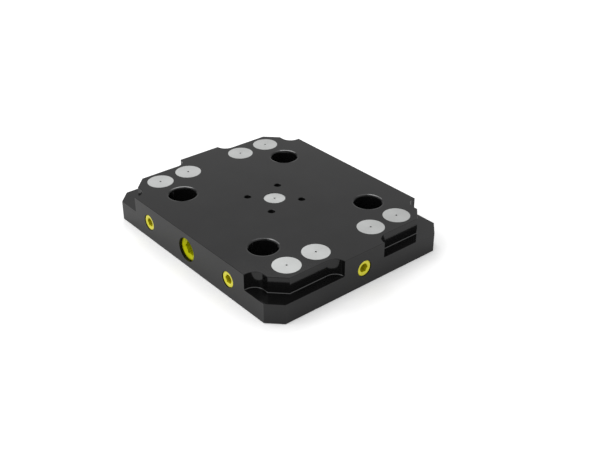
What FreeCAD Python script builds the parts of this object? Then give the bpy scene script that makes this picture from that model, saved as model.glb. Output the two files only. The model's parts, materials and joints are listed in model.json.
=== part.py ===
import FreeCAD, Part
import math
import os

# Zero-point pallet: a flat steel plate with four receiving bores for clamping studs.
# One screw on the front face drives a double wedge train that locks all four studs.
# Units are millimetres. Z = 0 is the underside, the origin is the middle of the plate,
# X runs along the long side and the actuating screw looks out of the -Y face.

# Plate outline
LENGTH = 192.0
WIDTH = 156.0
THICKNESS = 27.0
CORNER_CHAMFER = 10.0
EDGE_BREAK = 0.25

# Clamping ledges milled into the four corners
LEDGE_DEPTH = 12.0
LEDGE_FROM_SIDE = 8.0
LEDGE_FROM_FRONT = 10.0
LEDGE_INNER_CHAMFER = 10.0
CUTTER_RADIUS = 8.0
LEDGE_FLOOR_FILLET = 0.5
LEDGE_SIDE_STRAIGHT = 32.0
LEDGE_FRONT_STRAIGHT = 4.0

# Stud bores
STUD_PITCH = 96.0
STUD_BORE_D = 20.0
STUD_LEAD_IN_R = 1.6
STUD_LEAD_IN_STEPS = 3

# Holes for the screws that hold the pallet down, each closed by a cover
MOUNT_SPACING_X = 150.0
MOUNT_SPACING_Y_OUTER = 100.0
MOUNT_SPACING_Y_INNER = 50.0
MOUNT_HOLE_D = 13.5
MOUNT_HEAD_DEPTH = 12.5
COVER_D = 19.6
COVER_THICKNESS = 3.5
CENTRE_COVER_D = 15.8
CENTRE_COVER_THICKNESS = 4.0
CENTRE_COVER_RECESS = 0.35
COVER_PULL_HOLE_D = 1.5
COVER_PULL_HOLE_DEPTH = 2.0

# Small tapped holes round the middle
CENTRE_TAP_SPACING = 28.0
CENTRE_TAP_D = 5.0
CENTRE_TAP_DEPTH = 12.0
CENTRE_TAP_CHAMFER = 0.4

# Bores of the clamping mechanism, all on one level
MECHANISM_DEPTH = 13.2
PIN_BORE_D = 10.0
PISTON_BORE_D = 10.0
THRUST_BORE_D = 12.0

# Plugs that close the drilled bores
PLUG_D = 12.0
PLUG_LENGTH = 8.0
PLUG_RECESS = 0.5
PLUG_EDGE_CHAMFER = 0.5
PLUG_HEX = 6.0
PLUG_HEX_DEPTH = 4.5
PLUG_SEAT_DEPTH = 10.0
PLUG_COUNTERSINK_D = 7.6

# Actuating screw
SCREW_PITCH = 1.5
SCREW_TURNS = 4
SCREW_RECESS = 2.0
SCREW_HEAD_D = 18.0
SCREW_HEAD_LENGTH = 8.0
SCREW_HEAD_CHAMFER = 0.5
SCREW_THREAD_D = 16.0
SCREW_THREAD_LENGTH = 20.0
SCREW_NOSE_D = 10.0
SCREW_NOSE_LENGTH = 8.2
SCREW_HEX = 10.0
SCREW_HEX_DEPTH = 7.0
SCREW_COUNTERSINK_D = 15.0

# Countersunk mouths of the hexagon sockets
SOCKET_CONE_HALF_ANGLE = 60.0

# Wedge train: the cone spreads two pins, and each pin spreads two pistons
CONE_HALF_ANGLE = 30.0
CONE_TIP_R = 1.0
CONE_APEX_PAST_PIN = 0.5
WEDGE_HALF_ANGLE = 35.0
WEDGE_TIP_HALF = 0.6
WEDGE_APEX_PAST_PISTON = 2.0

# Clamping pistons, their guide bushes and return springs
PISTON_NOSE_D = 7.0
PISTON_SETBACK = 0.25
PISTON_TIP_CHAMFER = 1.2
BUSH_LENGTH = 6.0
BUSH_SETBACK = 0.4
SPRING_LENGTH = 10.0
SPRING_WIRE_D = 0.8
SPRING_TURNS = 4.5
SPRING_STEPS_PER_TURN = 12

# Named clearances
RUN = 0.03
THREAD_RUN = 0.05
SEAT = 0.02
COVER_PLAY = 0.04
WEDGE_GAP = 0.05
SPRING_END_GAP = 0.15
END_ROOM = 0.5

# Worked out from the sizes above
AXIS_Z = THICKNESS - MECHANISM_DEPTH
STUD_X = STUD_PITCH / 2
STUD_Y = STUD_PITCH / 2
FRONT_Y = -WIDTH / 2
SIDE_X = LENGTH / 2
LEDGE_WALL_X = LENGTH / 2 - LEDGE_FROM_SIDE
LEDGE_WALL_Y = WIDTH / 2 - LEDGE_FROM_FRONT
SIDE_LAND_HALF = LEDGE_WALL_Y - LEDGE_INNER_CHAMFER - LEDGE_SIDE_STRAIGHT - CUTTER_RADIUS
FRONT_LAND_HALF = LEDGE_WALL_X - LEDGE_INNER_CHAMFER - LEDGE_FRONT_STRAIGHT - CUTTER_RADIUS
SCREW_TRAVEL = SCREW_PITCH * SCREW_TURNS
PIN_TRAVEL = SCREW_TRAVEL * math.tan(math.radians(CONE_HALF_ANGLE))
CONE_SLOPE = math.tan(math.radians(CONE_HALF_ANGLE))
WEDGE_SLOPE = math.tan(math.radians(WEDGE_HALF_ANGLE))
PISTON_TRAVEL = PIN_TRAVEL * WEDGE_SLOPE
PIN_R = PIN_BORE_D / 2 - RUN
PISTON_R = PISTON_BORE_D / 2 - RUN
CONE_R = THRUST_BORE_D / 2 - RUN
CONE_APEX_Y = PIN_BORE_D / 2 + CONE_APEX_PAST_PIN
CONE_BASE_Y = CONE_APEX_Y - CONE_R / CONE_SLOPE
CONE_TIP_Y = CONE_APEX_Y - CONE_TIP_R / CONE_SLOPE
WEDGE_APEX_X = STUD_X + WEDGE_APEX_PAST_PISTON
PIN_TIP_X = WEDGE_APEX_X - WEDGE_TIP_HALF / WEDGE_SLOPE
SCREW_FACE_Y = FRONT_Y + SCREW_RECESS
SCREW_THREAD_Y = SCREW_FACE_Y + SCREW_HEAD_LENGTH
SCREW_NOSE_Y = SCREW_THREAD_Y + SCREW_THREAD_LENGTH
SCREW_END_Y = SCREW_NOSE_Y + SCREW_NOSE_LENGTH
CONE_BACK_Y = SCREW_END_Y + WEDGE_GAP
HEAD_BORE_END_Y = SCREW_THREAD_Y + SCREW_TRAVEL + END_ROOM
THREAD_BORE_END_Y = SCREW_NOSE_Y + SCREW_TRAVEL + END_ROOM
THRUST_BORE_END_Y = CONE_TIP_Y + SCREW_TRAVEL + END_ROOM
PIN_BORE_END_X = PIN_TIP_X + PIN_TRAVEL + END_ROOM
STUD_WALL = STUD_Y - STUD_BORE_D / 2
BUSH_OUTER = STUD_WALL - BUSH_SETBACK
BUSH_INNER = BUSH_OUTER - BUSH_LENGTH
PISTON_SHOULDER = BUSH_INNER - SPRING_LENGTH
PISTON_END = STUD_WALL - PISTON_SETBACK
SPRING_MEAN_R = (PISTON_BORE_D / 2 + PISTON_NOSE_D / 2) / 2
SPRING_PATH_R = 2 * SPRING_MEAN_R / (1 + math.cos(math.pi / SPRING_STEPS_PER_TURN))

CORNERS = {
    "front_left": (-1, -1),
    "front_right": (1, -1),
    "rear_left": (-1, 1),
    "rear_right": (1, 1),
}

V = FreeCAD.Vector
X_AXIS = V(1, 0, 0)
Y_AXIS = V(0, 1, 0)
Z_AXIS = V(0, 0, 1)


def prism(points, z_low, z_high):
    """Upright prism over a closed outline of (x, y) points."""
    outline = Part.makePolygon([V(x, y, z_low) for x, y in points + points[:1]])
    return Part.Face(outline).extrude(V(0, 0, z_high - z_low))


def turned(profile, origin, axis):
    """Solid of revolution: profile is (distance along axis, radius) from origin."""
    side = X_AXIS if abs(axis.dot(X_AXIS)) < 0.5 else Z_AXIS
    points = [origin + axis * t + side * r for t, r in profile]
    outline = Part.makePolygon(points + points[:1])
    return Part.Face(outline).revolve(origin, axis, 360)


def hexagon(across_flats, length, origin, axis):
    """Hexagonal prism that starts at origin and runs along a level axis, corners sideways."""
    corner_r = across_flats / math.sqrt(3)
    side = axis.cross(Z_AXIS)
    points = []
    for step in range(6):
        angle = math.radians(60 * step)
        points.append(origin + side * (corner_r * math.cos(angle)) + Z_AXIS * (corner_r * math.sin(angle)))
    return Part.Face(Part.makePolygon(points + points[:1])).extrude(axis * length)


def export(name, shape):
    """Write one piece to its own file."""
    shape.exportStep("parts/" + name + ".step")


def mount_places():
    """Centres of the eight hold-down holes, front row first."""
    places = []
    for y in (-MOUNT_SPACING_Y_OUTER / 2, -MOUNT_SPACING_Y_INNER / 2):
        places += [(-MOUNT_SPACING_X / 2, y), (MOUNT_SPACING_X / 2, y)]
    for y in (MOUNT_SPACING_Y_INNER / 2, MOUNT_SPACING_Y_OUTER / 2):
        places += [(-MOUNT_SPACING_X / 2, y), (MOUNT_SPACING_X / 2, y)]
    return places


def ledge_cutter(side_x, side_y):
    """Space above one corner ledge, with the milling cutter's round ends."""
    wall_x = LEDGE_WALL_X
    wall_y = LEDGE_WALL_Y
    out_x = LENGTH / 2 + CUTTER_RADIUS + END_ROOM
    out_y = WIDTH / 2 + CUTTER_RADIUS + END_ROOM
    bow = CUTTER_RADIUS * (1 - math.sqrt(0.5))
    z = THICKNESS - LEDGE_DEPTH

    def at(x, y):
        return V(side_x * x, side_y * y, z)

    side_arc = Part.Arc(
        at(wall_x + CUTTER_RADIUS, SIDE_LAND_HALF),
        at(wall_x + bow, SIDE_LAND_HALF + bow),
        at(wall_x, SIDE_LAND_HALF + CUTTER_RADIUS),
    ).toShape()
    front_arc = Part.Arc(
        at(FRONT_LAND_HALF + CUTTER_RADIUS, wall_y),
        at(FRONT_LAND_HALF + bow, wall_y + bow),
        at(FRONT_LAND_HALF, wall_y + CUTTER_RADIUS),
    ).toShape()
    walls = Part.makePolygon([
        at(wall_x, SIDE_LAND_HALF + CUTTER_RADIUS),
        at(wall_x, wall_y - LEDGE_INNER_CHAMFER),
        at(wall_x - LEDGE_INNER_CHAMFER, wall_y),
        at(FRONT_LAND_HALF + CUTTER_RADIUS, wall_y),
    ])
    outside = Part.makePolygon([
        at(FRONT_LAND_HALF, wall_y + CUTTER_RADIUS),
        at(FRONT_LAND_HALF, out_y),
        at(out_x, out_y),
        at(out_x, SIDE_LAND_HALF),
        at(wall_x + CUTTER_RADIUS, SIDE_LAND_HALF),
    ])
    outline = Part.Wire(Part.__sortEdges__([side_arc, front_arc] + walls.Edges + outside.Edges))
    space = Part.Face(outline).extrude(V(0, 0, LEDGE_DEPTH + 1))
    floor_edges = [e for e in space.Edges if e.BoundBox.ZMax < z + 0.01]
    return space.makeFillet(LEDGE_FLOOR_FILLET, floor_edges)


def plate_blank():
    """Plate with cut corners, corner ledges and broken edges, before any hole."""
    half_x = LENGTH / 2
    half_y = WIDTH / 2
    cut = CORNER_CHAMFER
    outline = []
    for side_x, side_y in ((1, -1), (1, 1), (-1, 1), (-1, -1)):
        ends = [(half_x - cut, half_y), (half_x, half_y - cut)]
        if side_x == side_y:
            ends.reverse()
        outline += [(side_x * x, side_y * y) for x, y in ends]
    blank = prism(outline, 0, THICKNESS)
    for side_x, side_y in CORNERS.values():
        blank = blank.cut(ledge_cutter(side_x, side_y))
    rims = [e for e in blank.Edges if e.BoundBox.ZMin > THICKNESS - 0.01 or e.BoundBox.ZMax < 0.01]
    return blank.makeChamfer(EDGE_BREAK, rims)


def stud_bore(x, y):
    """Through bore for a stud, with a lead-in rounded in a few turned steps."""
    r = STUD_BORE_D / 2
    profile = [(-1, 0), (-1, r)]
    for step in range(STUD_LEAD_IN_STEPS + 1):
        angle = math.pi / 2 * step / STUD_LEAD_IN_STEPS
        depth = STUD_LEAD_IN_R * (1 - math.sin(angle))
        profile.append((THICKNESS - depth, r + STUD_LEAD_IN_R * (1 - math.cos(angle))))
    profile += [(THICKNESS + 1, r + STUD_LEAD_IN_R), (THICKNESS + 1, 0)]
    return turned(profile, V(x, y, 0), Z_AXIS)


def mount_hole(x, y):
    """Hold-down hole: a counterbore for the cover and the screw's head, and a through hole."""
    head_z = THICKNESS - COVER_THICKNESS - MOUNT_HEAD_DEPTH
    r = MOUNT_HOLE_D / 2
    profile = [
        (-1, 0),
        (-1, r),
        (head_z, r),
        (head_z, COVER_D / 2),
        (THICKNESS + 1, COVER_D / 2),
        (THICKNESS + 1, 0),
    ]
    return turned(profile, V(x, y, 0), Z_AXIS)


def tapped_hole(x, y):
    """Small blind tapped hole at its core diameter."""
    r = CENTRE_TAP_D / 2
    low = THICKNESS - CENTRE_TAP_DEPTH
    profile = [
        (low, 0),
        (low, r),
        (THICKNESS - CENTRE_TAP_CHAMFER, r),
        (THICKNESS + 1, r + CENTRE_TAP_CHAMFER + 1),
        (THICKNESS + 1, 0),
    ]
    return turned(profile, V(x, y, 0), Z_AXIS)


def plug_seat(face, axis):
    """Threaded mouth of a drilled bore, at the thread's outer diameter."""
    r = PLUG_D / 2
    return turned([(-1, 0), (-1, r), (PLUG_SEAT_DEPTH, r), (PLUG_SEAT_DEPTH, 0)], face, axis)


def mechanism_bores():
    """All level bores of the wedge train and the mouths that their plugs close."""
    bores = []
    for side_x in (-1, 1):
        face = V(side_x * STUD_X, FRONT_Y, AXIS_Z)
        bores.append(Part.makeCylinder(PISTON_BORE_D / 2, STUD_Y - FRONT_Y, face, Y_AXIS))
        bores.append(plug_seat(face, Y_AXIS))
    side_face = V(SIDE_X, 0, AXIS_Z)
    bores.append(Part.makeCylinder(PIN_BORE_D / 2, SIDE_X + PIN_BORE_END_X, side_face, -X_AXIS))
    bores.append(plug_seat(side_face, -X_AXIS))
    thread_r = SCREW_THREAD_D / 2 + THREAD_RUN
    screw_steps = [
        (-1, 0),
        (-1, SCREW_HEAD_D / 2),
        (HEAD_BORE_END_Y - FRONT_Y, SCREW_HEAD_D / 2),
        (HEAD_BORE_END_Y - FRONT_Y, thread_r),
        (THREAD_BORE_END_Y - FRONT_Y, thread_r),
        (THREAD_BORE_END_Y - FRONT_Y, THRUST_BORE_D / 2),
        (THRUST_BORE_END_Y - FRONT_Y, THRUST_BORE_D / 2),
        (THRUST_BORE_END_Y - FRONT_Y, 0),
    ]
    bores.append(turned(screw_steps, V(0, FRONT_Y, AXIS_Z), Y_AXIS))
    return bores


def pallet_body():
    """The plate with every bore."""
    holes = [stud_bore(sx * STUD_X, sy * STUD_Y) for sx, sy in CORNERS.values()]
    holes += [mount_hole(x, y) for x, y in mount_places()]
    tap = CENTRE_TAP_SPACING / 2
    holes += [tapped_hole(sx * tap, sy * tap) for sx, sy in CORNERS.values()]
    centre_depth = CENTRE_COVER_RECESS + CENTRE_COVER_THICKNESS
    holes.append(Part.makeCylinder(CENTRE_COVER_D / 2, centre_depth + 1, V(0, 0, THICKNESS - centre_depth)))
    holes += mechanism_bores()
    body = plate_blank()
    for hole in holes:
        body = body.cut(hole)
    return body.removeSplitter()


def cover(x, y, diameter, thickness, recess=0.0):
    """Cover pressed into its counterbore, with a small hole to pull it out by."""
    r = diameter / 2 - COVER_PLAY
    profile = [
        (0, 0),
        (0, r),
        (thickness, r),
        (thickness, COVER_PULL_HOLE_D / 2),
        (thickness - COVER_PULL_HOLE_DEPTH, COVER_PULL_HOLE_D / 2),
        (thickness - COVER_PULL_HOLE_DEPTH, 0),
    ]
    return turned(profile, V(x, y, THICKNESS - recess - thickness), Z_AXIS)


def socket(face, axis, across_flats, depth, countersink_d):
    """Hexagon socket with a countersunk mouth, as the space to cut away."""
    countersink_r = countersink_d / 2
    slope = math.tan(math.radians(SOCKET_CONE_HALF_ANGLE))
    cone = turned([(-1, 0), (-1, countersink_r + slope), (countersink_r / slope, 0)], face, axis)
    return hexagon(across_flats, depth, face, axis).fuse(cone)


def plug(face, axis):
    """Screw plug with a hexagon socket. face is where the drilled bore leaves the plate."""
    front = face + axis * PLUG_RECESS
    r = PLUG_D / 2 - SEAT
    profile = [
        (0, 0),
        (0, r - PLUG_EDGE_CHAMFER),
        (PLUG_EDGE_CHAMFER, r),
        (PLUG_LENGTH, r),
        (PLUG_LENGTH, 0),
    ]
    body = turned(profile, front, axis)
    return body.cut(socket(front, axis, PLUG_HEX, PLUG_HEX_DEPTH, PLUG_COUNTERSINK_D))


def actuating_screw():
    """Head with a hexagon socket, threaded shank and thrust nose."""
    head_r = SCREW_HEAD_D / 2 - RUN
    thread_end = SCREW_HEAD_LENGTH + SCREW_THREAD_LENGTH
    total = thread_end + SCREW_NOSE_LENGTH
    nose_r = SCREW_NOSE_D / 2
    profile = [
        (0, 0),
        (0, head_r - SCREW_HEAD_CHAMFER),
        (SCREW_HEAD_CHAMFER, head_r),
        (SCREW_HEAD_LENGTH, head_r),
        (SCREW_HEAD_LENGTH, SCREW_THREAD_D / 2),
        (thread_end, SCREW_THREAD_D / 2),
        (thread_end, nose_r),
        (total, nose_r),
        (total, 0),
    ]
    face = V(0, SCREW_FACE_Y, AXIS_Z)
    body = turned(profile, face, Y_AXIS)
    return body.cut(socket(face, Y_AXIS, SCREW_HEX, SCREW_HEX_DEPTH, SCREW_COUNTERSINK_D))


def thrust_cone():
    """Cylinder with a conical point that the screw pushes between the two pins."""
    profile = [
        (0, 0),
        (0, CONE_R),
        (CONE_BASE_Y - CONE_BACK_Y, CONE_R),
        (CONE_TIP_Y - CONE_BACK_Y, CONE_TIP_R),
        (CONE_TIP_Y - CONE_BACK_Y, 0),
    ]
    return turned(profile, V(0, CONE_BACK_Y, AXIS_Z), Y_AXIS)


def transfer_pin(side_x):
    """Pin between the cone and two pistons: a slanted inner end and a roof-shaped tip."""
    r = PIN_R
    roof_x = WEDGE_APEX_X - r / WEDGE_SLOPE
    plan = [
        ((CONE_APEX_Y + r) * CONE_SLOPE + WEDGE_GAP, -r),
        (roof_x, -r),
        (PIN_TIP_X, -WEDGE_TIP_HALF),
        (PIN_TIP_X, WEDGE_TIP_HALF),
        (roof_x, r),
        ((CONE_APEX_Y - r) * CONE_SLOPE + WEDGE_GAP, r),
    ]
    outline = prism([(side_x * x, y) for x, y in plan], AXIS_Z - r, AXIS_Z + r)
    return outline.common(Part.makeCylinder(r, PIN_TIP_X, V(0, 0, AXIS_Z), X_AXIS * side_x))


def clamping_piston(side_x, side_y):
    """Piston: slanted foot against the pin's roof, head, and nose that locks the stud."""
    nose_r = PISTON_NOSE_D / 2
    profile = [
        (0, 0),
        (0, PISTON_R),
        (PISTON_SHOULDER, PISTON_R),
        (PISTON_SHOULDER, nose_r),
        (PISTON_END - PISTON_TIP_CHAMFER, nose_r),
        (PISTON_END, nose_r - PISTON_TIP_CHAMFER),
        (PISTON_END, 0),
    ]
    body = turned(profile, V(side_x * STUD_X, 0, AXIS_Z), Y_AXIS * side_y)
    inner_x = STUD_X - PISTON_R - 1
    outer_x = STUD_X + PISTON_R + 1
    foot = WEDGE_TIP_HALF + WEDGE_GAP
    plan = [
        (inner_x, (WEDGE_APEX_X - inner_x) * WEDGE_SLOPE + WEDGE_GAP),
        (PIN_TIP_X, foot),
        (outer_x, foot),
        (outer_x, PISTON_END + 1),
        (inner_x, PISTON_END + 1),
    ]
    outline = prism([(side_x * x, side_y * y) for x, y in plan], AXIS_Z - PISTON_R - 1, AXIS_Z + PISTON_R + 1)
    return body.common(outline)


def guide_bush(side_x, side_y):
    """Bush pressed into the piston bore: it guides the nose and carries the spring."""
    outer_r = PISTON_BORE_D / 2
    inner_r = PISTON_NOSE_D / 2 + RUN
    profile = [
        (BUSH_INNER, inner_r),
        (BUSH_INNER, outer_r),
        (BUSH_OUTER, outer_r),
        (BUSH_OUTER, inner_r),
    ]
    return turned(profile, V(side_x * STUD_X, 0, AXIS_Z), Y_AXIS * side_y)


def return_spring(side_x, side_y):
    """Compression spring round the piston's nose, between its shoulder and the bush."""
    half = SPRING_WIRE_D / 2
    height = SPRING_LENGTH - SPRING_WIRE_D - 2 * SPRING_END_GAP
    steps = round(SPRING_TURNS * SPRING_STEPS_PER_TURN)
    path = []
    for step in range(steps + 1):
        angle = 2 * math.pi * step / SPRING_STEPS_PER_TURN
        across = X_AXIS * math.cos(angle) + Y_AXIS * math.sin(angle)
        path.append(across * SPRING_PATH_R + Z_AXIS * (height * step / steps))
    inner = SPRING_PATH_R - half
    outer = SPRING_PATH_R + half
    section = [V(outer, 0, half), V(inner, 0, half), V(inner, 0, -half), V(outer, 0, -half)]
    coil = Part.makePolygon(path).makePipeShell([Part.makePolygon(section + section[:1])], True, False, 1)
    coil.rotate(V(0, 0, 0), X_AXIS, -90 * side_y)
    start = side_y * (PISTON_SHOULDER + half + SPRING_END_GAP)
    coil.translate(V(side_x * STUD_X, start, AXIS_Z))
    return coil


def write_all():
    """Build every piece and write it to its file."""
    export("pallet_body", pallet_body())
    for number, (x, y) in enumerate(mount_places(), 1):
        export(f"mounting_cover_{number}", cover(x, y, COVER_D, COVER_THICKNESS))
    export("centre_cover", cover(0, 0, CENTRE_COVER_D, CENTRE_COVER_THICKNESS, CENTRE_COVER_RECESS))
    export("front_plug_left", plug(V(-STUD_X, FRONT_Y, AXIS_Z), Y_AXIS))
    export("front_plug_right", plug(V(STUD_X, FRONT_Y, AXIS_Z), Y_AXIS))
    export("side_plug", plug(V(SIDE_X, 0, AXIS_Z), -X_AXIS))
    export("actuating_screw", actuating_screw())
    export("thrust_cone", thrust_cone())
    export("transfer_pin_left", transfer_pin(-1))
    export("transfer_pin_right", transfer_pin(1))
    for corner, (side_x, side_y) in CORNERS.items():
        export("clamping_piston_" + corner, clamping_piston(side_x, side_y))
        export("guide_bush_" + corner, guide_bush(side_x, side_y))
        export("return_spring_" + corner, return_spring(side_x, side_y))


write_all()
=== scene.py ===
import json
import logging
import math
from dataclasses import dataclass
from enum import Enum
from typing import Any, Callable, Iterable, Mapping, Sequence, Union

import bpy
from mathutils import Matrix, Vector


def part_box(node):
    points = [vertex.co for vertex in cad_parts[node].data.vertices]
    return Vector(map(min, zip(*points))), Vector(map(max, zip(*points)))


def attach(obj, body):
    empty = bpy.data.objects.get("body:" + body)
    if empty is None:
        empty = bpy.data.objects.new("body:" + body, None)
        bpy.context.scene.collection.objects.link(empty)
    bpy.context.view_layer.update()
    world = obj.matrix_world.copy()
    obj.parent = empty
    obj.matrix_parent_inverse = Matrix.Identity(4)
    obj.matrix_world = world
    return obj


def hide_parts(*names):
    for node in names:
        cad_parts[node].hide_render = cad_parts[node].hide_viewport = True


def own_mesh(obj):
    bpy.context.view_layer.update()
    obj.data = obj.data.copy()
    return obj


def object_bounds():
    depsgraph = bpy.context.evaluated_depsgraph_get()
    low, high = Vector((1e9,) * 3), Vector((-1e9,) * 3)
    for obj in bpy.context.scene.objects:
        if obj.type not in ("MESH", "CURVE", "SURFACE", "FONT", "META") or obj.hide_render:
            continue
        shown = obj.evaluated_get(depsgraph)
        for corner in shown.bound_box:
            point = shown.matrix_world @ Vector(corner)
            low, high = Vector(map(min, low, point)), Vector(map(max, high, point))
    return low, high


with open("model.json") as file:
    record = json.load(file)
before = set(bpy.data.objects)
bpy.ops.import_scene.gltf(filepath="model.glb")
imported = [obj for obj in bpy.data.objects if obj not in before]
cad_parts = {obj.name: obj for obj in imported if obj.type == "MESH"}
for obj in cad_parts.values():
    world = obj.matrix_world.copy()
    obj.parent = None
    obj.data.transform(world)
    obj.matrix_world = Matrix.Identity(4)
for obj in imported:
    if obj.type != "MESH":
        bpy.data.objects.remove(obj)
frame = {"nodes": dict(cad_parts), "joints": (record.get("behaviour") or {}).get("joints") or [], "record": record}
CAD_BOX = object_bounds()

LOG = logging.getLogger("zero_point_pallet")
MM = 0.001

Tone = tuple[float, float, float]
Point = tuple[float, float, float]
Span = tuple[float, float]
Shares = tuple[float, ...]
Operand = Union["Wire", float, int]

MOUNTS: dict[str, Any] = {mount["name"]: mount for mount in frame["record"]["mounts"]}
STUD_BORE = MOUNTS["stud_bore_rear_right"]
CLAMPING_LEDGE = MOUNTS["clamping_ledge_rear_right"]
TAPS = MOUNTS["centre_taps"]["dims"]
OUTER_HOLES = MOUNTS["hold_down_outer"]["dims"]
INNER_HOLES = MOUNTS["hold_down_inner"]["dims"]


# Node arithmetic


@dataclass(frozen=True)
class Wire:
    """One output socket of a node tree, usable in Python sums and products."""

    board: "Board"
    socket: bpy.types.NodeSocket

    def _math(self, operation: str, *operands: Operand) -> "Wire":
        """Adds a Math node.

        Args:
            operation: the Math node's operation.
            operands: the values or wires of its inputs, in order.

        Returns:
            The node's value.
        """
        inputs = dict(enumerate(operands))
        return self.board.node("ShaderNodeMath", {"operation": operation}, inputs)

    def __add__(self, other: Operand) -> "Wire":
        """self + other."""
        return self._math("ADD", self, other)

    def __radd__(self, other: Operand) -> "Wire":
        """other + self."""
        return self._math("ADD", other, self)

    def __sub__(self, other: Operand) -> "Wire":
        """self - other."""
        return self._math("SUBTRACT", self, other)

    def __rsub__(self, other: Operand) -> "Wire":
        """other - self."""
        return self._math("SUBTRACT", other, self)

    def __mul__(self, other: Operand) -> "Wire":
        """self * other."""
        return self._math("MULTIPLY", self, other)

    def __rmul__(self, other: Operand) -> "Wire":
        """other * self."""
        return self._math("MULTIPLY", other, self)

    def __truediv__(self, other: Operand) -> "Wire":
        """self / other."""
        return self._math("DIVIDE", self, other)

    def __rtruediv__(self, other: Operand) -> "Wire":
        """other / self."""
        return self._math("DIVIDE", other, self)

    def __pow__(self, other: Operand) -> "Wire":
        """self ** other."""
        return self._math("POWER", self, other)

    def __rpow__(self, other: Operand) -> "Wire":
        """other ** self."""
        return self._math("POWER", other, self)

    def __abs__(self) -> "Wire":
        """abs(self)."""
        return self._math("ABSOLUTE", self)

    def least(self, other: Operand) -> "Wire":
        """The smaller of self and other."""
        return self._math("MINIMUM", self, other)

    def most(self, other: Operand) -> "Wire":
        """The larger of self and other."""
        return self._math("MAXIMUM", self, other)

    def sine(self) -> "Wire":
        """Sine of self, in radians."""
        return self._math("SINE", self)

    def cosine(self) -> "Wire":
        """Cosine of self, in radians."""
        return self._math("COSINE", self)

    def wave(self) -> "Wire":
        """Sine of self, moved into 0 to 1."""
        return self.sine() * 0.5 + 0.5

    def angle_to(self, other: Operand) -> "Wire":
        """Angle of the point (other, self) about the origin."""
        return self._math("ARCTAN2", self, other)

    def ramp(self, low: float, high: float) -> "Wire":
        """Smooth step of self.

        Args:
            low: where the step is 0.
            high: where the step is 1.

        Returns:
            The step, from 0 to 1.
        """
        return self.board.node(
            "ShaderNodeMapRange",
            {"interpolation_type": "SMOOTHSTEP"},
            {"Value": self, "From Min": low, "From Max": high, "To Min": 0.0, "To Max": 1.0},
            "Result",
        )

    def band(self, rise: Span, fall: Span) -> "Wire":
        """1 where self is between the two spans, with smooth steps across them, else 0.

        Args:
            rise: where the step up starts and ends.
            fall: where the step down starts and ends.

        Returns:
            The band.
        """
        return self.ramp(*rise) * (1.0 - self.ramp(*fall))


@dataclass(frozen=True)
class Noise:
    """A soft noise: waves per metre, octaves and the weight of the finer ones."""

    waves: float
    octaves: float = 2.0
    roughness: float = 0.5


@dataclass(frozen=True)
class Relief:
    """A fine relief: its depth in metres and the share of its full effect."""

    depth: float
    strength: float


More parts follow.
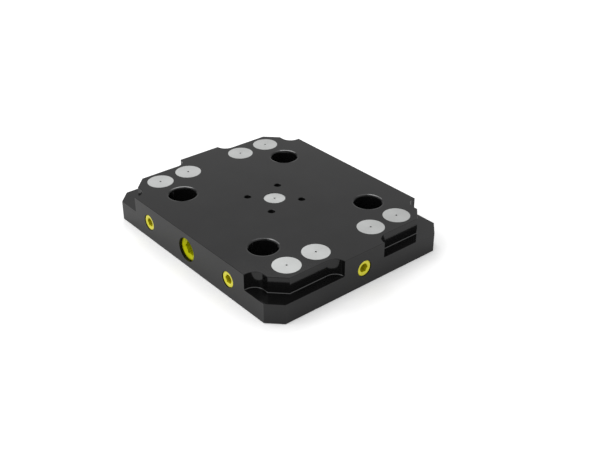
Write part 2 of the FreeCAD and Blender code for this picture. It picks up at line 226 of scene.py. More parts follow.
class Board:
    """A node tree under construction, for a material, a world or a geometry tree."""

    def __init__(self, tree: bpy.types.NodeTree) -> None:
        """Keeps the tree and empties it.

        Args:
            tree: the tree to fill.
        """
        self.tree = tree
        self.tree.nodes.clear()

    def add(
        self,
        kind: str,
        settings: Mapping[str, Any] | None = None,
        inputs: Mapping[str | int, Any] | None = None,
    ) -> bpy.types.Node:
        """Adds one node.

        Args:
            kind: the node's type.
            settings: its properties, set before its inputs.
            inputs: socket name or number to a value or a wire.

        Returns:
            The new node.
        """
        made = self.tree.nodes.new(kind)
        for name, value in (settings or {}).items():
            setattr(made, name, value)
        for key, value in (inputs or {}).items():
            socket = made.inputs[key]
            if isinstance(value, Wire):
                self.tree.links.new(value.socket, socket)
            else:
                socket.default_value = value
        return made

    def node(
        self,
        kind: str,
        settings: Mapping[str, Any] | None = None,
        inputs: Mapping[str | int, Any] | None = None,
        output: str | int = 0,
    ) -> Wire:
        """Adds one node and hands back one of its outputs.

        Args:
            kind: the node's type.
            settings: its properties.
            inputs: socket name or number to a value or a wire.
            output: name or number of the socket to hand back.

        Returns:
            The chosen output as a wire.
        """
        return Wire(self, self.add(kind, settings, inputs).outputs[output])

    def end(self, kind: str, name: str, wire: Wire) -> None:
        """Adds the tree's output node.

        Args:
            kind: the node's type.
            name: its input.
            wire: what goes there.
        """
        self.add(kind, None, {name: wire})

    def place(self) -> Wire:
        """The point on the piece, in the shared frame."""
        return self.node("ShaderNodeTexCoord", output="Object")

    def facing(self) -> Wire:
        """The piece's surface normal, in the shared frame."""
        return self.node("ShaderNodeTexCoord", output="Normal")

    def split(self, vector: Wire) -> tuple[Wire, Wire, Wire]:
        """A vector's three parts.

        Args:
            vector: the vector to take apart.

        Returns:
            Its x, y and z.
        """
        parts = self.add("ShaderNodeSeparateXYZ", None, {0: vector}).outputs
        return Wire(self, parts[0]), Wire(self, parts[1]), Wire(self, parts[2])

    def join(self, x: Operand, y: Operand, z: Operand) -> Wire:
        """A vector from three parts."""
        return self.node("ShaderNodeCombineXYZ", None, {0: x, 1: y, 2: z})

    @staticmethod
    def reach(across: Wire, along: Wire) -> Wire:
        """Distance from the origin of a plane."""
        return (across * across + along * along) ** 0.5

    def corner_reach(self, place: Wire, half: float) -> Wire:
        """Distance in plan from the nearest corner of a square about the origin.

        Args:
            place: where to measure it.
            half: half the square's side.

        Returns:
            The distance.
        """
        x, y, _ = self.split(place)
        return self.reach(abs(x) - half, abs(y) - half)

    def noise(self, vector: Wire, kind: Noise) -> Wire:
        """Soft noise from 0 to 1.

        Args:
            vector: where to read it.
            kind: its waves and octaves.

        Returns:
            The noise value.
        """
        return self.node(
            "ShaderNodeTexNoise",
            {"noise_dimensions": "3D"},
            {
                "Vector": vector,
                "Scale": kind.waves,
                "Detail": kind.octaves,
                "Roughness": kind.roughness,
            },
        )

    def stretch(self, vector: Wire, factors: Sequence[float]) -> Wire:
        """The vector multiplied part by part."""
        inputs = {0: vector, 1: tuple(factors)}
        return self.node("ShaderNodeVectorMath", {"operation": "MULTIPLY"}, inputs)

    @staticmethod
    def weigh(parts: Sequence[Wire], shares: Shares, start: float = 0.0) -> Wire:
        """Weighted sum of patterns.

        Args:
            parts: the patterns.
            shares: the weight of each.
            start: what the sum starts from.

        Returns:
            The sum.
        """
        total: Operand = start
        for part, share in zip(parts, shares):
            if share:
                total = part * share + total
        return total

    def blend(self, share: Wire, low: Wire | Tone, high: Wire | Tone) -> Wire:
        """Mix of two colours.

        Args:
            share: 0 gives low and 1 gives high.
            low: a colour.
            high: a colour.

        Returns:
            The mixed colour.
        """
        first, second = (tone if isinstance(tone, Wire) else (*tone, 1.0) for tone in (low, high))
        settings = {"data_type": "RGBA", "clamp_factor": True}
        return self.node("ShaderNodeMix", settings, {0: share, 6: first, 7: second}, 2)

    def bump(self, height: Wire, relief: Relief) -> Wire:
        """Surface normal of a relief.

        Args:
            height: its height, from 0 to 1.
            relief: its depth and strength.

        Returns:
            The bent normal.
        """
        inputs = {"Height": height, "Distance": relief.depth, "Strength": relief.strength}
        return self.node("ShaderNodeBump", None, inputs)


# Finishes


class Machining(Enum):
    """The direction of a piece's tool marks, with the factors that stretch their noise."""

    ALONG_X = (1.0, 0.02, 0.02)
    ALONG_Y = (0.02, 1.0, 0.02)


@dataclass(frozen=True)
class Finish:
    """Base of the finishes.

    The uniform shader numbers come first. Each finish mixes a few patterns from 0 to 1, its
    parts: the three tuples of shares say how far each of them drives tone, gloss and relief.
    """

    name: str
    slot: str
    metallic: float = 0.0
    specular: float = 0.5
    edge_tint: float = 1.0
    anisotropic: float = 0.0
    deep: Tone = (0.0, 0.0, 0.0)
    pale: Tone = (1.0, 1.0, 1.0)
    tone_shares: Shares = ()
    gloss_low: float = 0.0
    gloss_shares: Shares = ()
    relief_shares: Shares = ()
    relief: Relief = Relief(0.002 * MM, 0.4)

    def parts(self, board: Board, place: Wire) -> tuple[Wire, ...]:
        """The patterns that the finish mixes.

        Args:
            board: the material's tree.
            place: the point on the piece.

        Returns:
            The patterns, each from 0 to 1, in the order of the shares.
        """
        raise NotImplementedError

    def painted_light_and_wear(self, board: Board, place: Wire, parts: Sequence[Wire], coat: Wire) -> Wire:
        """Painted light and wear in the base colour, from place to place; none unless a finish adds them.

        Args:
            board: the material's tree.
            place: the point on the piece.
            parts: the patterns.
            coat: the base colour so far.

        Returns:
            The final base colour.
        """
        return coat

    def make(self) -> bpy.types.Material:
        """Builds the material.

        Returns:
            The new material.
        """
        material = bpy.data.materials.new(self.name)
        material.use_nodes = True
        board = Board(material.node_tree)
        place = board.place()
        parts = self.parts(board, place)
        coat = board.blend(board.weigh(parts, self.tone_shares), self.deep, self.pale)
        shader = board.node(
            "ShaderNodeBsdfPrincipled",
            None,
            {
                "Metallic": self.metallic,
                "Specular IOR Level": self.specular,
                "Specular Tint": (self.edge_tint, self.edge_tint, self.edge_tint, 1.0),
                "Anisotropic": self.anisotropic,
                "Base Color": self.painted_light_and_wear(board, place, parts, coat),
                "Roughness": board.weigh(parts, self.gloss_shares, self.gloss_low),
                "Normal": board.bump(board.weigh(parts, self.relief_shares), self.relief),
            },
        )
        board.end("ShaderNodeOutputMaterial", "Surface", shader)
        return material


@dataclass(frozen=True)
class BlackOxide(Finish):
    """Satin black coating on milled and ground steel.

    It carries painted light: a brighter front face, painted shade on the slanted edges and in the
    tapped holes, a painted highlight on the ledges' fillets, and a painted glint on the bores' lips,
    which the studs also wear.
    """

    metallic: float = 0.85
    specular: float = 0.2
    edge_tint: float = 0.75
    deep: Tone = (0.0276, 0.0276, 0.0279)
    pale: Tone = (0.0382, 0.0382, 0.0384)
    tone_shares: Shares = (0.65, 0.35, 0.0)
    gloss_low: float = 0.07
    gloss_shares: Shares = (0.04, 0.02, 0.02)
    relief_shares: Shares = (0.0, 0.6, 0.4)
    relief: Relief = Relief(0.0012 * MM, 0.3)
    cloud: Noise = Noise(38.0, 3.0, 0.55)
    grain: Noise = Noise(2400.0, 2.0, 0.6)
    lines: Noise = Noise(1500.0)
    lines_stretch: tuple[float, float, float] = (0.03, 1.0, 1.0)
    # Painted light: the front face's lighter tones
    painted_front_light_deep: Tone = (0.0390, 0.0390, 0.0393)
    painted_front_light_pale: Tone = (0.0540, 0.0540, 0.0542)
    # Painted shade on the slanted edges and in the tapped holes
    painted_shade: Tone = (0.0130, 0.0130, 0.0132)
    # Lip tones: the studs' wear, then the painted glint at its brightest
    lip_wear_and_glint: Tone = (0.0400, 0.0400, 0.0402)
    painted_lip_glint: Tone = (0.0950, 0.0950, 0.0955)
    # Painted highlight on the ledges' fillets
    painted_fillet_highlight: Tone = (0.0720, 0.0720, 0.0724)
    # The plate's own sizes
    top: float = CAD_BOX[1].z
    front: float = -CAD_BOX[0].y
    ledge: float = CLAMPING_LEDGE["pos_m"][2]
    ledge_fillet: float = 0.5 * MM
    stud_place: float = STUD_BORE["pos_m"][0]
    bore_radius: float = STUD_BORE["dims"]["r_mm"] * MM
    lip: float = 1.6 * MM
    tap_place: float = TAPS["spacing_x_mm"] / 2 * MM
    tap_radius: float = TAPS["hole_r_mm"] * MM
    # Distances over which a mask fades
    face_fade: Span = (0.3 * MM, 0.1 * MM)
    edge_fade: float = 0.16 * MM
    lip_fade: float = 0.32 * MM
    taps_end: Span = (20.0 * MM, 21.0 * MM)
    blur: float = 0.05 * MM
    # How far a surface normal has to point up or right for a mask to rise or fall
    slant_from: Span = (0.5, 0.65)
    slant_to: Span = (0.76, 0.9)
    facing_right: Span = (0.52, 0.66)
    fillet_from: Span = (0.05, 0.15)
    fillet_to: Span = (0.97, 0.995)
    # Painted glint on the lips, with the studs' wear: its side as a direction in plan, where its tone rises, the
    # least of it
    lip_glint_side: tuple[float, float] = (0.77, -0.64)
    lip_glint_span: Span = (0.16, 0.24)
    least_wear_and_glint: float = 0.5

    def parts(self, board: Board, place: Wire) -> tuple[Wire, ...]:
        """Clouds, fine grain and faint grinding lines.

        Args:
            board: the material's tree.
            place: the point on the plate.

        Returns:
            The three patterns, in that order.
        """
        return (
            board.noise(place, self.cloud),
            board.noise(place, self.grain),
            board.noise(board.stretch(place, self.lines_stretch), self.lines),
        )

    def painted_light_and_wear(self, board: Board, place: Wire, parts: Sequence[Wire], coat: Wire) -> Wire:
        """Painted light and wear: a lighter front face, painted shade on the slanted edges and in the
        tapped holes, a painted highlight on the fillets, and a painted glint and stud wear on the lips.

        Args:
            board: the material's tree.
            place: the point on the plate.
            parts: clouds, grain and lines.
            coat: the tone of the top, the ledges and the other sides.

        Returns:
            The plate's base colour.
        """
        _, y, _ = board.split(place)
        # Painted light: the front face is made lighter than the other sides
        front_light_mask = (0.0 - y).ramp(self.front - self.face_fade[0], self.front - self.face_fade[1])
        uneven = board.weigh(parts, self.tone_shares)
        front_light_coat = board.blend(uneven, self.painted_front_light_deep, self.painted_front_light_pale)
        front_lit_coat = board.blend(front_light_mask, coat, front_light_coat)
        # Painted shade on the slanted edges and in the tapped holes
        painted_shade_mask = self.edge_shade_mask(board, place).most(self.tap_shade_mask(board, place))
        shaded_coat = board.blend(painted_shade_mask, front_lit_coat, self.painted_shade)
        # Painted glint on the lips, brightest where the normal faces the glint side; stud wear too
        rightward, rearward, _ = board.split(board.facing())
        side = rightward * self.lip_glint_side[0] + rearward * self.lip_glint_side[1]
        lip_wear_and_glint = board.blend(side.ramp(*self.lip_glint_span), self.lip_wear_and_glint, self.painted_lip_glint)
        lipped = board.blend(self.lip_wear_and_glint_mask(board, place, parts[0]), shaded_coat, lip_wear_and_glint)
        # Painted highlight on the ledges' fillets
        return board.blend(self.fillet_highlight_mask(board, place), lipped, self.painted_fillet_highlight)

    def edge_shade_mask(self, board: Board, place: Wire) -> Wire:
        """Painted shade on the slanted edges of the top face and its bores.

        The edges that face right get none of it.

        Args:
            board: the material's tree.
            place: the point on the plate.

        Returns:
            1 there, else 0.
        """
        rightward, _, tilt = board.split(board.facing())
        x, y, z = board.split(place)
        slanted = tilt.band(self.slant_from, self.slant_to)
        kept = slanted * (1.0 - rightward.ramp(*self.facing_right))
        beyond_taps = abs(x).most(abs(y)).ramp(*self.taps_end)
        lip_foot = self.top - self.lip
        return kept * beyond_taps * z.ramp(lip_foot, lip_foot + self.edge_fade)

    def tap_shade_mask(self, board: Board, place: Wire) -> Wire:
        """Painted shade inside the tapped holes.

        Args:
            board: the material's tree.
            place: the point on the plate.

        Returns:
            1 there, else 0.
        """
        _, _, z = board.split(place)
        reach = board.corner_reach(place, self.tap_place)
        inside = 1.0 - reach.ramp(self.tap_radius + self.blur, self.tap_radius + 2 * self.blur)
        at_top = z.ramp(self.top - self.face_fade[0], self.top - self.face_fade[1])
        return inside * (1.0 - at_top)

    def fillet_highlight_mask(self, board: Board, place: Wire) -> Wire:
        """Painted highlight on the fillets at the foot of the ledges' walls.

        Args:
            board: the material's tree.
            place: the point on the plate.

        Returns:
            1 there, else 0.
        """
        _, _, z = board.split(place)
        _, _, tilt = board.split(board.facing())
        end = self.ledge + self.ledge_fillet
        level = z.band(
            (self.ledge - 2 * self.blur, self.ledge - self.blur), (end, end + self.blur)
        )
        return tilt.band(self.fillet_from, self.fillet_to) * level

    def lip_wear_and_glint_mask(self, board: Board, place: Wire, patches: Wire) -> Wire:
        """How far the outer half of the bores' lips is lightened: stud wear and a painted glint.

        Args:
            board: the material's tree.
            place: the point on the plate.
            patches: the pattern that makes the wear and glint uneven.

        Returns:
            The wear and painted glint, where 0 is none and 1 is all.
        """
        _, _, z = board.split(place)
        reach = board.corner_reach(place, self.stud_place)
        outer = self.bore_radius + self.lip
        crest = self.bore_radius + self.lip / 2
        ring = reach.band(
            (crest - self.blur, crest + self.blur), (outer, outer + 2 * self.blur)
        )
        lip_foot = self.top - self.lip
        above = z.ramp(lip_foot - self.lip_fade, lip_foot)
        return ring * above * (self.least_wear_and_glint + patches)


@dataclass(frozen=True)
class TurnedDisc(Finish):
    """Light metal disc faced on a lathe: rings round each disc's middle and a faint painted sheen.

    grid_x is a column's distance from the plate's middle, grid_y that of a pair of rows, and
    half_gap_y half the distance between the two rows. Zeros mean one disc in the middle.
    """

    metallic: float = 0.85
    anisotropic: float = 0.15
    deep: Tone = (0.328, 0.335, 0.331)
    pale: Tone = (0.396, 0.403, 0.399)
    tone_shares: Shares = (0.40, 0.55, 0.05)
    gloss_low: float = 0.36
    gloss_shares: Shares = (0.05, 0.06, 0.0)
    relief_shares: Shares = (0.6, 0.4, 0.0)
    relief: Relief = Relief(0.003 * MM, 0.4)
    scatter: Noise = Noise(3200.0, 2.0, 0.6)
    wander: Noise = Noise(900.0)
    wander_rings: float = 0.5
    ring_width: float = 0.22 * MM
    sheen_sweeps: float = 2.0
    grid_x: float = 0.0
    grid_y: float = 0.0
    half_gap_y: float = 0.0

    def parts(self, board: Board, place: Wire) -> tuple[Wire, ...]:
        """Rings from the facing cut, fine scatter and a painted sheen sweeping round each disc's middle.

        Args:
            board: the material's tree.
            place: the point on the disc.

        Returns:
            The three patterns, in that order.
        """
        x, y, _ = board.split(place)
        across = abs(x) - self.grid_x if self.grid_x else x
        along = abs(abs(y) - self.grid_y) - self.half_gap_y if self.grid_y else y
        shift = board.noise(place, self.wander) * self.wander_rings
        rings = (board.reach(across, along) / self.ring_width + shift) * (2 * math.pi)
        # Painted sheen that sweeps round each disc's middle
        painted_sheen = along.angle_to(across) * self.sheen_sweeps
        return rings.wave(), board.noise(place, self.scatter), painted_sheen.wave()


@dataclass(frozen=True)
class YellowPlating(Finish):
    """Bright yellow-green plating on turned steel, with painted shade in the hex sockets."""

    deep: Tone = (0.69, 0.635, 0.008)
    pale: Tone = (0.88, 0.825, 0.016)
    # Painted shade in the hex sockets
    painted_socket_shade: Tone = (0.45, 0.405, 0.003)
    tone_shares: Shares = (0.7, 0.3)
    gloss_low: float = 0.24
    gloss_shares: Shares = (0.08, 0.06)
    relief_shares: Shares = (0.0, 1.0)
    relief: Relief = Relief(0.004 * MM, 0.3)
    cloud: Noise = Noise(160.0, 3.0, 0.6)
    grain: Noise = Noise(2600.0, 2.0, 0.6)
    front: float = -CAD_BOX[0].y
    right: float = CAD_BOX[1].x
    socket_start: float = 0.8 * MM
    socket_fade: float = 0.4 * MM

    def parts(self, board: Board, place: Wire) -> tuple[Wire, ...]:
        """Uneven plating thickness and fine grain."""
        return board.noise(place, self.cloud), board.noise(place, self.grain)

    def painted_light_and_wear(self, board: Board, place: Wire, parts: Sequence[Wire], coat: Wire) -> Wire:
        """Painted shade below the depth from the outer face where the socket starts.

        Args:
            board: the material's tree.
            place: the point on the plug or screw.
            parts: the patterns, which change nothing here.
            coat: the plating's colour.

        Returns:
            The base colour, with the sockets' painted shade.
        """
        x, y, _ = board.split(place)
        depth = (y + self.front).least(self.right - x)
        # Painted shade deeper than the socket's start
        socket_shade_mask = depth.ramp(self.socket_start, self.socket_start + self.socket_fade)
        return board.blend(socket_shade_mask, coat, self.painted_socket_shade)


@dataclass(frozen=True)
class GroundSteel(Finish):
    """Hardened and ground steel, with lines round its axis."""

    metallic: float = 1.0
    deep: Tone = (0.30, 0.30, 0.31)
    pale: Tone = (0.52, 0.52, 0.53)
    tone_shares: Shares = (0.6, 0.4)
    gloss_low: float = 0.22
    gloss_shares: Shares = (0.12, 0.05)
    relief_shares: Shares = (1.0, 0.0)
    lines: Noise = Noise(2200.0, 3.0, 0.6)
    cloud: Noise = Noise(140.0)
    direction: Machining = Machining.ALONG_X

    def parts(self, board: Board, place: Wire) -> tuple[Wire, ...]:
        """Fine grinding lines and a little cloudiness."""
        lines = board.noise(board.stretch(place, self.direction.value), self.lines)
        return lines, board.noise(place, self.cloud)


@dataclass(frozen=True)
class OiledSteel(Finish):
    """Turned steel blackened in oil."""

    specular: float = 0.4
    deep: Tone = (0.008, 0.008, 0.009)
    pale: Tone = (0.022, 0.021, 0.021)
    tone_shares: Shares = (0.4, 0.6)
    gloss_low: float = 0.26
    gloss_shares: Shares = (0.10, 0.10)
    relief_shares: Shares = (1.0, 0.0)
    lines: Noise = Noise(2600.0)
    oil: Noise = Noise(220.0, 3.0, 0.6)

    def parts(self, board: Board, place: Wire) -> tuple[Wire, ...]:
        """Turning lines round the bore and patches of thicker oil."""
        lines = board.noise(board.stretch(place, Machining.ALONG_Y.value), self.lines)
        return lines, board.noise(place, self.oil)


@dataclass(frozen=True)
class DrawnWire(Finish):
    """Oil-tempered spring wire."""

    metallic: float = 1.0
    deep: Tone = (0.10, 0.10, 0.11)
    pale: Tone = (0.24, 0.24, 0.25)
    tone_shares: Shares = (0.6, 0.4)
    gloss_low: float = 0.32
    gloss_shares: Shares = (0.0, 0.12)
    relief_shares: Shares = (0.0, 1.0)
    cloud: Noise = Noise(420.0, 3.0, 0.6)
    grain: Noise = Noise(3600.0)

    def parts(self, board: Board, place: Wire) -> tuple[Wire, ...]:
        """Blotchy grey and a fine grain."""
        return board.noise(place, self.cloud), board.noise(place, self.grain)


# Geometry trees


@dataclass(frozen=True)
class TreeInput:
    """A named input of a geometry tree."""

    name: str
    kind: str
    value: Any


class GeometryTree:
    """A geometry tree with named inputs, built in this script."""

    def __init__(self, name: str, inputs: Iterable[TreeInput]) -> None:
        """Makes the empty tree with its inputs and its one geometry output.

        Args:
            name: the tree's name.
            inputs: its inputs in order.
        """
        self.tree = bpy.data.node_groups.new(name, "GeometryNodeTree")
        self.board = Board(self.tree)
        self.values: dict[str, tuple[str, Any]] = {}
        for item in inputs:
            socket = self.tree.interface.new_socket(
                name=item.name, in_out="INPUT", socket_type=item.kind
            )
            self.values[item.name] = (socket.identifier, item.value)
        self.tree.interface.new_socket(
            name="Geometry", in_out="OUTPUT", socket_type="NodeSocketGeometry"
        )
        self._entry = self.board.add("NodeGroupInput")

    def input(self, name: str) -> Wire:
        """The wire of a named input."""
        return Wire(self.board, self._entry.outputs[name])

    def close(self, geometry: Wire) -> None:
        """Realizes the instances, sets the material and ends the tree.

        Args:
            geometry: what the tree has made.
        """
        smooth = self.board.node("GeometryNodeSetShadeSmooth", None, {"Geometry": geometry})
        real = self.board.node("GeometryNodeRealizeInstances", None, {"Geometry": smooth})
        inputs = {"Geometry": real, "Material": self.input("Finish")}
        dressed = self.board.node("GeometryNodeSetMaterial", None, inputs)
        self.board.end("NodeGroupOutput", "Geometry", dressed)

    def mesh_piece(self, name: str, changes: Mapping[str, Any]) -> bpy.types.Object:
        """Runs the tree once and keeps its result as a plain mesh.

        Args:
            name: the new piece's name.
            changes: input name to value, where it differs from the tree's own.

        Returns:
            The piece, with no modifier left.
        """
        piece = bpy.data.objects.new(name, bpy.data.meshes.new(name))
        bpy.context.scene.collection.objects.link(piece)
        modifier = piece.modifiers.new("Build", "NODES")
        modifier.node_group = self.tree
        for item, (identifier, value) in self.values.items():
            modifier[identifier] = changes.get(item, value)
        bpy.context.view_layer.update()
        ready = piece.evaluated_get(bpy.context.evaluated_depsgraph_get())
        mesh = bpy.data.meshes.new_from_object(ready)
        mesh.name = name
        piece.modifiers.remove(modifier)
        piece.data = mesh
        return piece


def helix(board: Board, radius: Operand, turns: Operand, height: Wire, steps: int) -> Wire:
    """A helical path about Z.

    Args:
        board: the tree to add it to.
        radius: the helix's radius.
        turns: how many turns it makes.
        height: the height above the start, as a field along the path.
        steps: points along the path.

    Returns:
        The path as a curve.
    """
    line = board.node("GeometryNodeCurvePrimitiveLine")
    points = board.node("GeometryNodeResampleCurve", None, {"Curve": line, "Count": steps})
    share = board.node("GeometryNodeSplineParameter", output="Factor")
    angle = share * turns * (2 * math.pi)
    place = board.join(angle.cosine() * radius, angle.sine() * radius, height)
    path = board.node("GeometryNodeSetPosition", None, {"Geometry": points, "Position": place})
    return board.node("GeometryNodeSetCurveNormal", {"mode": "Z_UP"}, {"Curve": path})


def rod(board: Board, path: Wire, radius: Operand, sides: int) -> Wire:
    """A closed rod along a path.

    Args:
        board: the tree to add it to.
        path: the rod's middle line.
        radius: its radius.
        sides: corners of its section.

    Returns:
        The rod as a mesh.
    """
    measures = {"Resolution": sides, "Radius": radius}
    section = board.node("GeometryNodeCurvePrimitiveCircle", None, measures)
    inputs = {"Curve": path, "Profile Curve": section, "Fill Caps": True}
    return board.node("GeometryNodeCurveToMesh", None, inputs)


class SpringTree(GeometryTree):
    """Compression spring with closed ends, made along Z and then set in place."""

    STEPS_PER_TURN = 30
    WIRE_SIDES = 10

    def __init__(self, turns: float) -> None:
        """Builds the tree.

        Args:
            turns: all turns, the closed ones at the ends among them.
        """
        super().__init__(
            "compression_spring",
            [
                TreeInput("Wire radius", "NodeSocketFloat", 0.45 * MM),
                TreeInput("Coil radius", "NodeSocketFloat", 4.25 * MM),
                TreeInput("Turns", "NodeSocketFloat", turns),
                TreeInput("Closed turns", "NodeSocketFloat", 0.8),
                TreeInput("Length", "NodeSocketFloat", 9.7 * MM),
                TreeInput("Place", "NodeSocketVector", (0.0, 0.0, 0.0)),
                TreeInput("Lean", "NodeSocketVector", (0.0, 0.0, 0.0)),
                TreeInput("Finish", "NodeSocketMaterial", None),
            ],
        )
        board = self.board
        wire = self.input("Wire radius")
        all_turns = self.input("Turns")
        closed = self.input("Closed turns")
        turn = board.node("GeometryNodeSplineParameter", output="Factor") * all_turns
        open_turns = all_turns - closed * 2.0
        pitch = (self.input("Length") - wire * 2.0 - closed * wire * 4.0) / open_turns
        first = turn.least(closed) * wire * 2.0
        middle = (turn - closed).most(0.0).least(open_turns) * pitch
        last = (turn - all_turns + closed).most(0.0) * wire * 2.0
        height = wire + first + middle + last
        steps = round(turns * self.STEPS_PER_TURN)
        path = helix(board, self.input("Coil radius"), all_turns, height, steps)
        inputs = {
            "Geometry": rod(board, path, wire, self.WIRE_SIDES),
            "Translation": self.input("Place"),
            "Rotation": self.input("Lean"),
        }
        self.close(board.node("GeometryNodeTransform", None, inputs))


class TapThreadTree(GeometryTree):
    """Thread ridge of a tapped hole, repeated at the four corners of a square."""

    STEPS_PER_TURN = 24
    RIDGE_SIDES = 4
    RIDGE_OFFSET = 0.35

    def __init__(self, turns: float) -> None:
        """Builds the tree.

        Args:
            turns: how many turns the thread has.
        """
        super().__init__(
            "tapped_holes",
            [
                TreeInput("Core radius", "NodeSocketFloat", TAPS["hole_r_mm"] * MM),
                TreeInput("Ridge radius", "NodeSocketFloat", 0.26 * MM),
                TreeInput("Pitch", "NodeSocketFloat", 1.0 * MM),
                TreeInput("Turns", "NodeSocketFloat", turns),
                TreeInput("Start height", "NodeSocketFloat", 15.2 * MM),
                TreeInput("Spacing", "NodeSocketFloat", TAPS["spacing_x_mm"] * MM),
                TreeInput("Finish", "NodeSocketMaterial", None),
            ],
        )
        board = self.board
        turn = board.node("GeometryNodeSplineParameter", output="Factor") * self.input("Turns")
        height = self.input("Start height") + turn * self.input("Pitch")
        radius = self.input("Ridge radius")
        reach = self.input("Core radius") + radius * self.RIDGE_OFFSET
        steps = round(turns * self.STEPS_PER_TURN)
        path = helix(board, reach, self.input("Turns"), height, steps)
        side = self.input("Spacing")
        corners = {"Size X": side, "Size Y": side, "Vertices X": 2, "Vertices Y": 2}
        inputs = {
            "Points": board.node("GeometryNodeMeshGrid", None, corners),
            "Instance": rod(board, path, radius, self.RIDGE_SIDES),
        }
        self.close(board.node("GeometryNodeInstanceOnPoints", None, inputs))


# The object's sub-assemblies


def dress(node: str, material: bpy.types.Material) -> None:
    """Gives a CAD node its material.

    Args:
        node: the node's name.
        material: the material for all its faces.
    """
    piece = frame["nodes"][node]
    if not piece.material_slots:
        piece.data.materials.append(material)
    for slot in piece.material_slots:
        slot.material = material
    LOG.info("%s is dressed in %s", node, material.name)


@dataclass
class PlateWithBores:
    """The steel plate and the threads of its four small tapped holes."""

    body: str = "base"
    tap_turns: float = 10.5
    finish: Finish = BlackOxide("satin_black_oxide", "plate_black")

    def build(self) -> None:
        """Dresses the plate and cuts the threads."""
        material = self.finish.make()
        dress("pallet_body", material)
        self.cut_threads(material)

    def cut_threads(self, material: bpy.types.Material) -> None:
        """Adds the thread ridges of the tapped holes.

        Args:
            material: the plate's own material.
        """
        tree = TapThreadTree(self.tap_turns)
        threads = tree.mesh_piece("centre_tap_threads", {"Finish": material})
        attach(threads, self.body)
        LOG.info("threads: %d faces", len(threads.data.polygons))


@dataclass
class Covers:
    """The press-in discs over the hold-down screws and over the middle bore."""

    count: int = 8
    column: float = OUTER_HOLES["spacing_x_mm"] / 2 * MM
    outer_row: float = OUTER_HOLES["spacing_y_mm"] / 2 * MM
    inner_row: float = INNER_HOLES["spacing_y_mm"] / 2 * MM

    def build(self) -> None:
        """Dresses the eight outer discs and the middle one."""
        outer = TurnedDisc(
            "turned_cover",
            "cover_aluminium",
            grid_x=self.column,
            grid_y=(self.outer_row + self.inner_row) / 2,
            half_gap_y=(self.outer_row - self.inner_row) / 2,
        ).make()
        for number in range(1, self.count + 1):
            dress(f"mounting_cover_{number}", outer)
        dress("centre_cover", TurnedDisc("turned_centre_cover", "cover_aluminium").make())


@dataclass
class PlugsAndScrew:
    """The yellow screw plugs and the actuating screw."""

    plugs: tuple[str, ...] = ("front_plug_left", "front_plug_right", "side_plug")
    screw: str = "actuating_screw"
    plug_finish: Finish = YellowPlating("yellow_plating", "yellow_coat")
    screw_finish: Finish = YellowPlating(
        "yellow_plating_screw",
        "yellow_coat",
        metallic=0.3,
        specular=0.06,
        socket_start=4.0 * MM,
        deep=(0.42, 0.43, 0.001),
        pale=(0.57, 0.58, 0.002),
        # Painted shade in the screw's socket
        painted_socket_shade=(0.46, 0.47, 0.001),
    )

    def build(self) -> None:
        """Dresses the three plugs and the screw."""
        plating = self.plug_finish.make()
        for node in self.plugs:
            dress(node, plating)
        dress(self.screw, self.screw_finish.make())


@dataclass
class WedgeTrain:
    """Cone, pins, pistons and bushes inside the plate."""

    corners: tuple[str, ...] = ("front_left", "front_right", "rear_left", "rear_right")

    def build(self) -> None:
        """Dresses the moving steel pieces and the bushes."""
        slot = "hardened_steel"
        along_y = GroundSteel("steel_ground_y", slot, direction=Machining.ALONG_Y).make()
        along_x = GroundSteel("steel_ground_x", slot).make()
        oiled = OiledSteel("oiled_steel", "bush_steel").make()
        dress("thrust_cone", along_y)
        dress("transfer_pin_left", along_x)
        dress("transfer_pin_right", along_x)
        for corner in self.corners:
            dress(f"clamping_piston_{corner}", along_y)
            dress(f"guide_bush_{corner}", oiled)


@dataclass
class ReturnSprings:
    """Round-wire springs in place of the CAD model's stepped coils."""

    body: str = "base"
    turns: float = 5.6
    end_gap: float = 0.15 * MM
    finish: Finish = DrawnWire("spring_wire", "spring_steel")

    def build(self) -> None:
        """Winds one spring for each clamping piston."""
        material = self.finish.make()
        tree = SpringTree(self.turns)
        for joint in frame["joints"]:
            for item in joint.get("deforming_nodes", []):
                self.wind(tree, material, item["node"], item["fixed_end_y_m"])

    def wind(
        self,
        tree: SpringTree,
        material: bpy.types.Material,
        node: str,
        fixed_end: float,
    ) -> None:
        """Winds one spring between its piston's shoulder and its bush.

        Args:
            tree: the spring's geometry tree.
            material: the wire's material.
            node: the CAD node that the spring replaces.
            fixed_end: where the bush carries it, in metres along Y.
        """
        low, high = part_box(node)
        middle = (low + high) / 2
        side = 1.0 if fixed_end > 0 else -1.0
        free_end = low.y if side > 0 else high.y
        length = high.y - low.y
        spring = tree.mesh_piece(
            node + "_wire",
            {
                "Length": length,
                "Place": (middle.x, free_end, middle.z),
                "Lean": (-side * math.pi / 2, 0.0, 0.0),
                "Finish": material,
            },
        )
        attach(spring, self.body)
        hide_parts(node)
        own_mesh(spring)
        LOG.info("%s: %d faces", spring.name, len(spring.data.polygons))


# Studio


@dataclass(frozen=True)
class Softbox:
    """A soft rectangular lamp, with its power in watts."""

    name: str
    place: Point
    target: Point
    width: float
    height: float
    power: float

    def hang(self) -> None:
        """Adds the lamp, turned to its target."""
        data = bpy.data.lights.new(self.name, "AREA")
        data.shape = "RECTANGLE"
        data.size = self.width
        data.size_y = self.height
        data.energy = self.power
        lamp = bpy.data.objects.new(self.name, data)
        lamp.location = self.place
        aim = Vector(self.target) - Vector(self.place)
        lamp.rotation_mode = "QUATERNION"
        lamp.rotation_quaternion = aim.to_track_quat("-Z", "Y")
        bpy.context.scene.collection.objects.link(lamp)


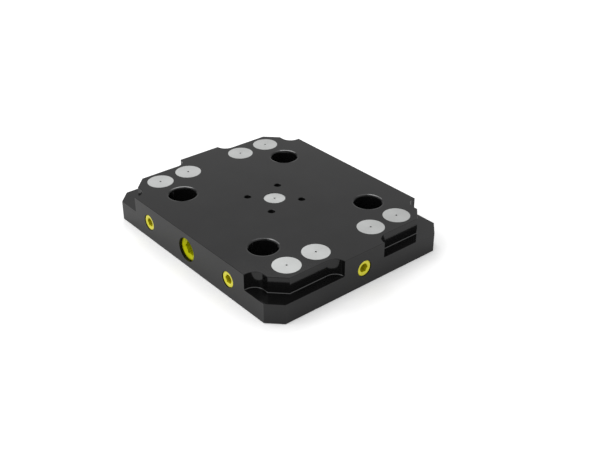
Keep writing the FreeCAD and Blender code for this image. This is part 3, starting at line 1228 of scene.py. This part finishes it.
@dataclass
class Studio:
    """Pale floor, white surroundings and soft lamps."""

    floor_half: float = 3.0
    floor_drop: float = 0.2 * MM
    floor_lit: float = 0.95
    floor_plain: float = 0.8
    # The floor's glow near the object and far from it; the lower near glow is a painted shadow
    painted_shadow_lift: float = 0.256
    far_lift: float = 0.34
    painted_shadow_reach: Span = (0.15, 0.60)
    sky_light: float = 0.72
    lamps: tuple[Softbox, ...] = (
        Softbox(
            name="rear_left_softbox",
            place=(-0.74, 0.40, 1.02),
            target=(0.0, 0.0, 0.0),
            width=0.55,
            height=0.50,
            power=2.9,
        ),
        Softbox(
            name="front_softbox",
            place=(-0.45, -0.80, 0.90),
            target=(0.0, -0.05, 0.01),
            width=1.4,
            height=0.9,
            power=5.0,
        ),
    )

    def build(self) -> None:
        """Sets up everything that isn't the object."""
        bpy.context.scene.view_settings.view_transform = "Standard"
        self.lay_floor()
        self.light_world()
        for lamp in self.lamps:
            lamp.hang()

    @staticmethod
    def seen_ray(board: Board) -> Wire:
        """Tells the rays that are seen from those that only carry light.

        Args:
            board: the tree to add it to.

        Returns:
            1 for camera, mirror and transmission rays, else 0.
        """
        rays = board.add("ShaderNodeLightPath").outputs
        seen = Wire(board, rays["Is Camera Ray"]) + Wire(board, rays["Is Glossy Ray"])
        return (seen + Wire(board, rays["Is Transmission Ray"])).least(1.0)

    @staticmethod
    def matt(board: Board, tone: float) -> Wire:
        """A matt grey surface of one tone."""
        return board.node("ShaderNodeBsdfDiffuse", None, {"Color": (tone, tone, tone, 1.0)})

    def lay_floor(self) -> None:
        """A pale floor that keeps the object's soft shadow and looks white elsewhere; its lower glow near the
        object paints a wider shadow round it.
        """
        half = self.floor_half
        plan = ((-half, -half), (half, -half), (half, half), (-half, half))
        mesh = bpy.data.meshes.new("studio_floor")
        mesh.from_pydata([(x, y, -self.floor_drop) for x, y in plan], [], [(0, 1, 2, 3)])
        floor = bpy.data.objects.new("studio_floor", mesh)
        bpy.context.scene.collection.objects.link(floor)
        material = bpy.data.materials.new("studio_floor")
        material.use_nodes = True
        mesh.materials.append(material)
        board = Board(material.node_tree)
        length = {"operation": "LENGTH"}
        reach = board.node("ShaderNodeVectorMath", length, {0: board.place()}, "Value")
        # Painted shadow: the floor glows less within this reach of the object
        beyond_painted_shadow = reach.ramp(*self.painted_shadow_reach)
        lift = board.blend(beyond_painted_shadow, (self.painted_shadow_lift,) * 3, (self.far_lift,) * 3)
        glow = board.node("ShaderNodeEmission", None, {"Color": lift, "Strength": 1.0})
        lit = self.matt(board, self.floor_lit)
        shown = board.node("ShaderNodeAddShader", None, {0: lit, 1: glow})
        plain = self.matt(board, self.floor_plain)
        choice = {0: self.seen_ray(board), 1: plain, 2: shown}
        surface = board.node("ShaderNodeMixShader", None, choice)
        board.end("ShaderNodeOutputMaterial", "Surface", surface)

    def light_world(self) -> None:
        """White surroundings that light the object softly."""
        world = bpy.data.worlds.new("studio_surroundings")
        bpy.context.scene.world = world
        world.use_nodes = True
        board = Board(world.node_tree)
        strength = self.sky_light + self.seen_ray(board) * (1.0 - self.sky_light)
        inputs = {"Color": (1.0, 1.0, 1.0, 1.0), "Strength": strength}
        sky = board.node("ShaderNodeBackground", None, inputs)
        board.end("ShaderNodeOutputWorld", "Surface", sky)


@dataclass
class StudioCamera:
    """The camera at the photograph's place, with lens and sensor in millimetres."""

    place: Point = (0.46188, -0.36292, 0.35208)
    aim: Point = (-0.65922, 0.55249, -0.51008)
    lens: float = 55.2
    sensor: float = 36.0
    clip: Span = (0.01, 20.0)

    def build(self) -> None:
        """Adds the camera and makes it the scene's own."""
        data = bpy.data.cameras.new("studio_camera")
        data.lens = self.lens
        data.sensor_width = self.sensor
        data.clip_start, data.clip_end = self.clip
        camera = bpy.data.objects.new("studio_camera", data)
        camera.location = self.place
        camera.rotation_mode = "QUATERNION"
        camera.rotation_quaternion = Vector(self.aim).to_track_quat("-Z", "Y")
        bpy.context.scene.collection.objects.link(camera)
        bpy.context.scene.camera = camera


def write_sizes() -> None:
    """Updates the view layer."""
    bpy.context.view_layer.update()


def main() -> None:
    """Builds the camera, the object and the studio in order."""
    logging.basicConfig(level=logging.INFO, format="%(name)s: %(message)s")
    steps: list[Callable[[], None]] = [
        StudioCamera().build,
        PlateWithBores().build,
        Covers().build,
        PlugsAndScrew().build,
        WedgeTrain().build,
        ReturnSprings().build,
        Studio().build,
        write_sizes,
    ]
    for step in steps:
        step()


if __name__ == "__main__":
    main()
